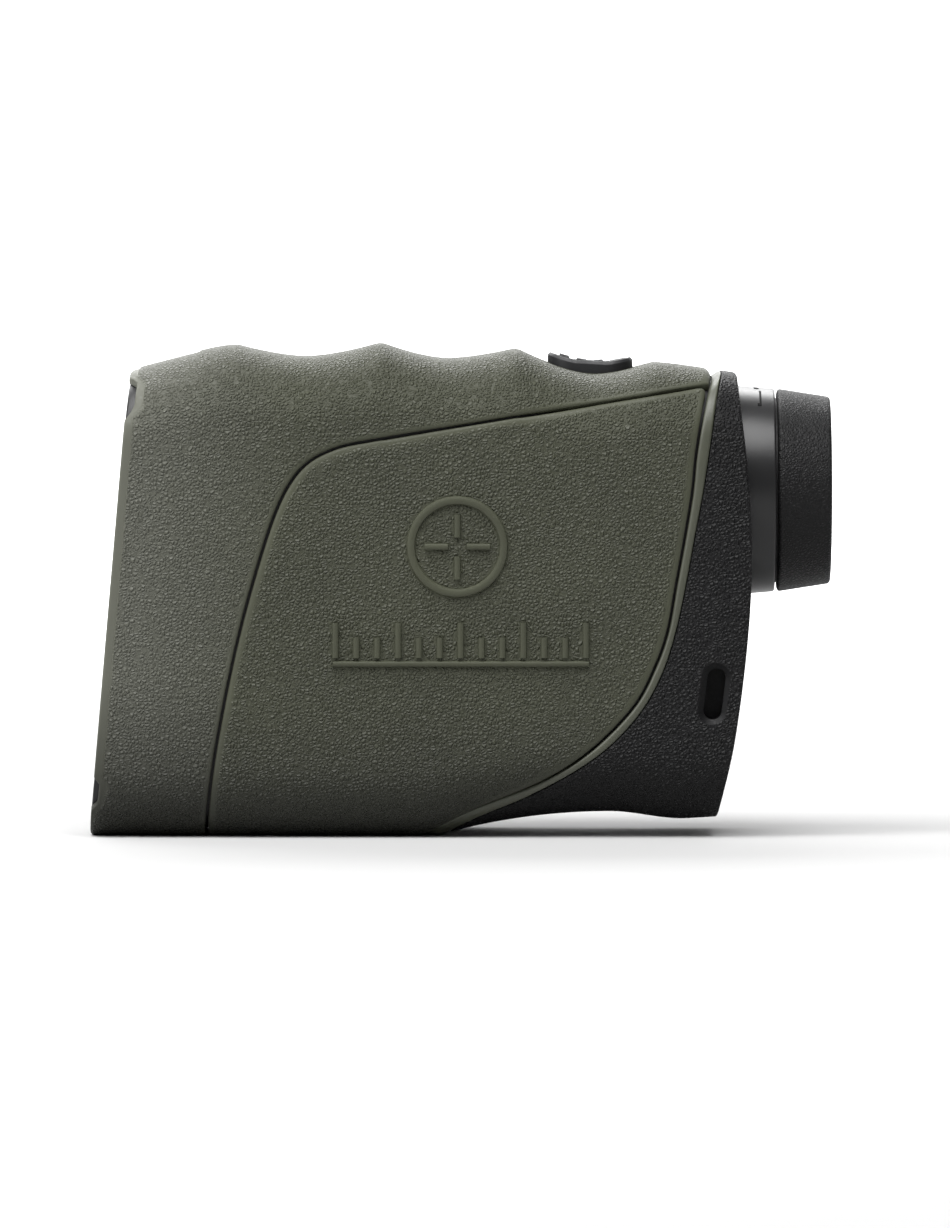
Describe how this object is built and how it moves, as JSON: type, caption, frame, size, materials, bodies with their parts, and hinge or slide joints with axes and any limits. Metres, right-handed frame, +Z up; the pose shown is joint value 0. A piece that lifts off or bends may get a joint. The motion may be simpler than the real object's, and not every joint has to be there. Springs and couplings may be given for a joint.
{
  "type": "laser rangefinder",
  "caption": "Hand-held laser rangefinder: olive grained armour over a shell, black rear housing, focusing eyepiece, top keys and a battery cap.",
  "frame": {"origin": "on the plane it stands on, under the middle of its whole length and width", "axes": "+X from the objective end towards the eyecup, +Y to the user's right when looking through it, +Z up through the keys"},
  "size_m": [0.11, 0.04, 0.0728],
  "materials": {
    "olive_shell": "fine-grained matt moulding",
    "olive_armour": "leather-grained soft armour",
    "olive_trim": "smooth satin bead",
    "black_housing": "leather-grained matt black moulding",
    "black_rubber": "fine-grained matt rubber",
    "black_key": "smooth satin rubber",
    "front_black": "fine matt black",
    "plate_black": "fine-grained matt black coating",
    "barrel_black": "matt black anodised",
    "collar_grey": "smooth satin grey",
    "lens_glass": "polished, coated",
    "receiver_glass": "polished, dark red filter coating",
    "steel_screw": "blackened steel",
    "bright_steel": "nickel plated",
    "circuit_green": "solder mask",
    "chip_black": "matt epoxy",
    "flex_amber": "polyimide film",
    "cell_gold": "printed sleeve without marks",
    "black_seal": "smooth rubber"
  },
  "bodies": {
    "housing": {"main_shell": "olive_shell", "grip_saddle": "olive_armour", "joint_trim": "olive_trim", "rear_housing": "black_housing", "front_plate": "plate_black", "plate_gasket": "black_seal", "lens_board": "barrel_black", "lens_board_screws": "steel_screw", "objective_ring": "barrel_black", "objective_crown": "lens_glass", "objective_flint": "lens_glass", "objective_barrel": "barrel_black", "emitter_lens": "lens_glass", "emitter_barrel": "barrel_black", "laser_diode": "bright_steel", "receiver_ring": "barrel_black", "receiver_lens": "receiver_glass", "receiver_tube": "barrel_black", "photodiode": "bright_steel", "receiver_board": "circuit_green", "prism_cage": "front_black", "first_prism": "lens_glass", "roof_prism": "lens_glass", "display_frame": "front_black", "display_glass": "lens_glass", "display_flex": "flex_amber", "eyepiece_collar": "collar_grey", "key_frame": "black_key", "key_board": "circuit_green", "key_switches": "bright_steel", "key_flex": "flex_amber", "key_board_screws": "steel_screw", "main_board": "circuit_green", "board_parts": "chip_black", "board_screws": "steel_screw", "battery_tube": "front_black", "battery_cell": "cell_gold", "battery_terminal": "bright_steel", "rear_screws": "steel_screw"},
    "eyepiece": {"diopter_ring": "front_black", "diopter_seal": "black_seal", "eyecup": "black_rubber"},
    "ocular": {"ocular_cell": "front_black", "key_pin": "bright_steel", "field_lens": "lens_glass", "middle_lens": "lens_glass", "eye_lens": "lens_glass"},
    "fire_button": {"fire_key": "black_key"},
    "mode_button": {"mode_key": "black_key"},
    "cap_thread": {"contact_spring": "bright_steel"},
    "cap": {"battery_cap": "black_housing", "cap_seal": "black_seal"}
  },
  "joints": [
    {"name": "diopter_turn", "type": "hinge", "parent": "housing", "child": "eyepiece", "pos_m": [0.048, 0, 0.051], "axis": [1, 0, 0], "range_deg": [-120, 120]},
    {"name": "ocular_travel", "type": "slide", "parent": "housing", "child": "ocular", "axis": [1, 0, 0], "range_m": [-0.00133, 0.00133]},
    {"name": "fire_key_press", "type": "slide", "parent": "housing", "child": "fire_button", "axis": [0, 0, -1], "range_m": [0, 0.0005], "stiffness_N_per_m": 1500, "springref_m": -0.0004},
    {"name": "mode_key_press", "type": "slide", "parent": "housing", "child": "mode_button", "axis": [0, 0, -1], "range_m": [0, 0.0005], "stiffness_N_per_m": 1500, "springref_m": -0.0004},
    {"name": "cap_turn", "type": "hinge", "parent": "cap_thread", "child": "cap", "pos_m": [0.0406, 0, 0.015], "axis": [0.9869, 0, -0.1616], "range_deg": [0, 540]},
    {"name": "cap_travel", "type": "slide", "parent": "housing", "child": "cap_thread", "axis": [0.9869, 0, -0.1616], "range_m": [0, 0.00225]}
  ],
  "couplings": [
    {"joint": "diopter_turn", "follows": "ocular_travel", "rad_per_m": 1570},
    {"joint": "cap_turn", "follows": "cap_travel", "rad_per_m": 4188}
  ]
}
